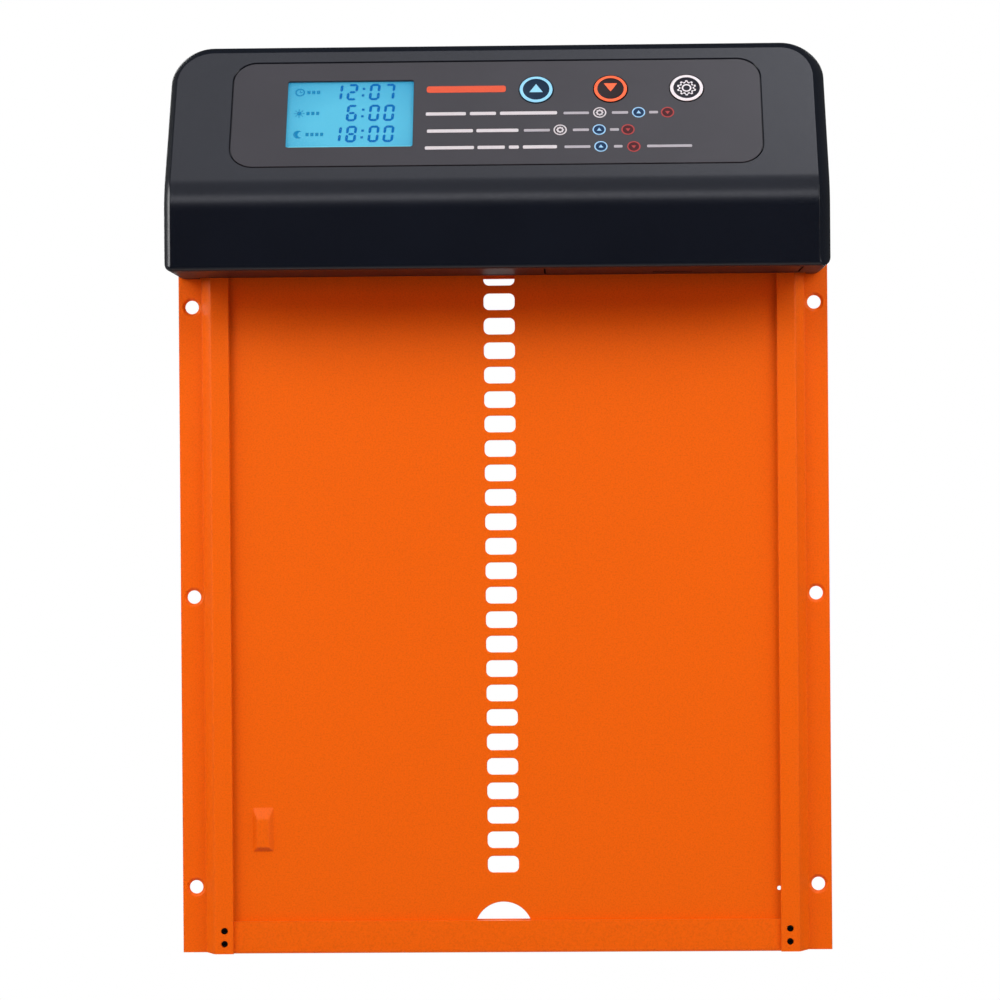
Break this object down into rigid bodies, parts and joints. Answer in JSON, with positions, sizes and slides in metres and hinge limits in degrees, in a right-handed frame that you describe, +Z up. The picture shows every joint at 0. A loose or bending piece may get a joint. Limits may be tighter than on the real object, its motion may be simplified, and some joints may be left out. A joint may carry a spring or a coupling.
{
  "type": "automatic coop door",
  "caption": "Wall-hung sheet door for a hen house, lifted between side rails by a toothed pinion under a housing with clock display, buttons, battery and gear motor.",
  "frame": {"origin": "on the wall plane, at the middle of the sill channel's back face, 6 mm above the frame's bottom edge", "axes": "+X to the right seen from outside the coop, +Y into the wall, +Z up, the way the door opens"},
  "size_m": [0.2668, 0.05, 0.3698],
  "materials": {
    "orange_coat": "satin powder coat with a fine sandy texture",
    "black_shell": "satin moulded plastic",
    "panel_print": "printed satin film",
    "display_lens": "clear",
    "display_face": "backlit liquid crystal",
    "backlight": "frosted light guide",
    "button_plastic": "satin moulded plastic with a printed ring",
    "inner_plastic": "plain moulded plastic",
    "nylon": "self-lubricating moulded nylon",
    "steel": "zinc plated",
    "black_steel": "black oxide",
    "brass": "turned",
    "circuit_board": "solder mask",
    "battery_sleeve": "plain shrink sleeve"
  },
  "bodies": {
    "frame": {"left_rail": "orange_coat", "right_rail": "orange_coat", "sill_channel": "orange_coat", "header_plate": "orange_coat", "sill_screw_left_lower": "black_steel", "housing_screw_left_lower": "steel", "sill_screw_left_upper": "black_steel", "housing_screw_left_upper": "steel", "header_rivet_left": "steel", "sill_screw_right_lower": "black_steel", "housing_screw_right_lower": "steel", "sill_screw_right_upper": "black_steel", "housing_screw_right_upper": "steel", "header_rivet_right": "steel", "front_shell": "black_shell", "back_cover": "inner_plastic", "cover_screw_1": "steel", "battery_cell_1": "battery_sleeve", "cover_screw_2": "steel", "battery_cell_2": "battery_sleeve", "cover_screw_3": "steel", "battery_cell_3": "battery_sleeve", "cover_screw_4": "steel", "battery_cell_4": "battery_sleeve", "control_panel": "panel_print", "display_lens": "display_lens", "display_glass": "display_face", "display_backlight": "backlight", "open_switch": "inner_plastic", "close_switch": "inner_plastic", "settings_switch": "inner_plastic", "main_board": "circuit_board", "motor_can": "steel", "gearbox": "brass", "motor_bracket": "steel", "bearing_block_left": "nylon", "bearing_block_right": "nylon", "upper_limit_switch": "inner_plastic", "lower_limit_switch": "inner_plastic", "battery_tray": "inner_plastic", "contact_spring_1": "steel", "contact_spring_2": "steel", "terminal_plate": "steel", "jumper_plate": "steel"},
    "door": {"door_panel": "orange_coat"},
    "lift_shaft": {"pinion_shaft": "steel", "pinion_gear": "nylon", "lifting_pinion": "nylon"},
    "motor_output": {"output_shaft": "steel", "drive_gear": "brass"},
    "open_key": {"open_button": "button_plastic", "open_plunger": "nylon"},
    "close_key": {"close_button": "button_plastic", "close_plunger": "nylon"},
    "settings_key": {"settings_button": "button_plastic", "settings_plunger": "nylon"},
    "upper_lever": {"upper_limit_lever": "steel"},
    "lower_lever": {"lower_limit_lever": "steel"},
    "hatch": {"battery_hatch": "black_shell"}
  },
  "joints": [
    {"name": "door_slide", "type": "slide", "parent": "frame", "child": "door", "axis": [0, 0, 1], "range_m": [0, 0.232]},
    {"name": "lift_shaft_turn", "type": "hinge", "parent": "frame", "child": "lift_shaft", "pos_m": [0, -0.01658, 0.2898], "axis": [1, 0, 0], "range_deg": [0, 1050]},
    {"name": "motor_output_turn", "type": "hinge", "parent": "frame", "child": "motor_output", "pos_m": [0, -0.02938, 0.2898], "axis": [1, 0, 0], "range_deg": [-1750, 0]},
    {"name": "open_press", "type": "slide", "parent": "frame", "child": "open_key", "axis": [0, 0.848, -0.5299], "range_m": [0, 0.0005], "stiffness_N_per_m": 1500, "springref_m": -0.0006},
    {"name": "close_press", "type": "slide", "parent": "frame", "child": "close_key", "axis": [0, 0.848, -0.5299], "range_m": [0, 0.0005], "stiffness_N_per_m": 1500, "springref_m": -0.0006},
    {"name": "settings_press", "type": "slide", "parent": "frame", "child": "settings_key", "axis": [0, 0.848, -0.5299], "range_m": [0, 0.0005], "stiffness_N_per_m": 1500, "springref_m": -0.0006},
    {"name": "upper_lever_press", "type": "hinge", "parent": "frame", "child": "upper_lever", "pos_m": [-0.0995, -0.0121, 0.3025], "axis": [-1, 0, 0], "range_deg": [0, 8], "stiffness_Nm_per_rad": 0.02, "springref_deg": -11.46},
    {"name": "lower_lever_press", "type": "hinge", "parent": "frame", "child": "lower_lever", "pos_m": [0.0995, -0.0121, 0.2932], "axis": [1, 0, 0], "range_deg": [0, 8], "stiffness_Nm_per_rad": 0.02, "springref_deg": -11.46},
    {"name": "hatch_hinge", "type": "hinge", "parent": "frame", "child": "hatch", "pos_m": [0.069, -0.043, 0.2713], "axis": [-1, 0, 0], "range_deg": [0, 100]}
  ],
  "couplings": [
    {"joint": "lift_shaft_turn", "follows": "door_slide", "rad_per_m": 78.54},
    {"joint": "motor_output_turn", "follows": "door_slide", "rad_per_m": -130.9}
  ]
}
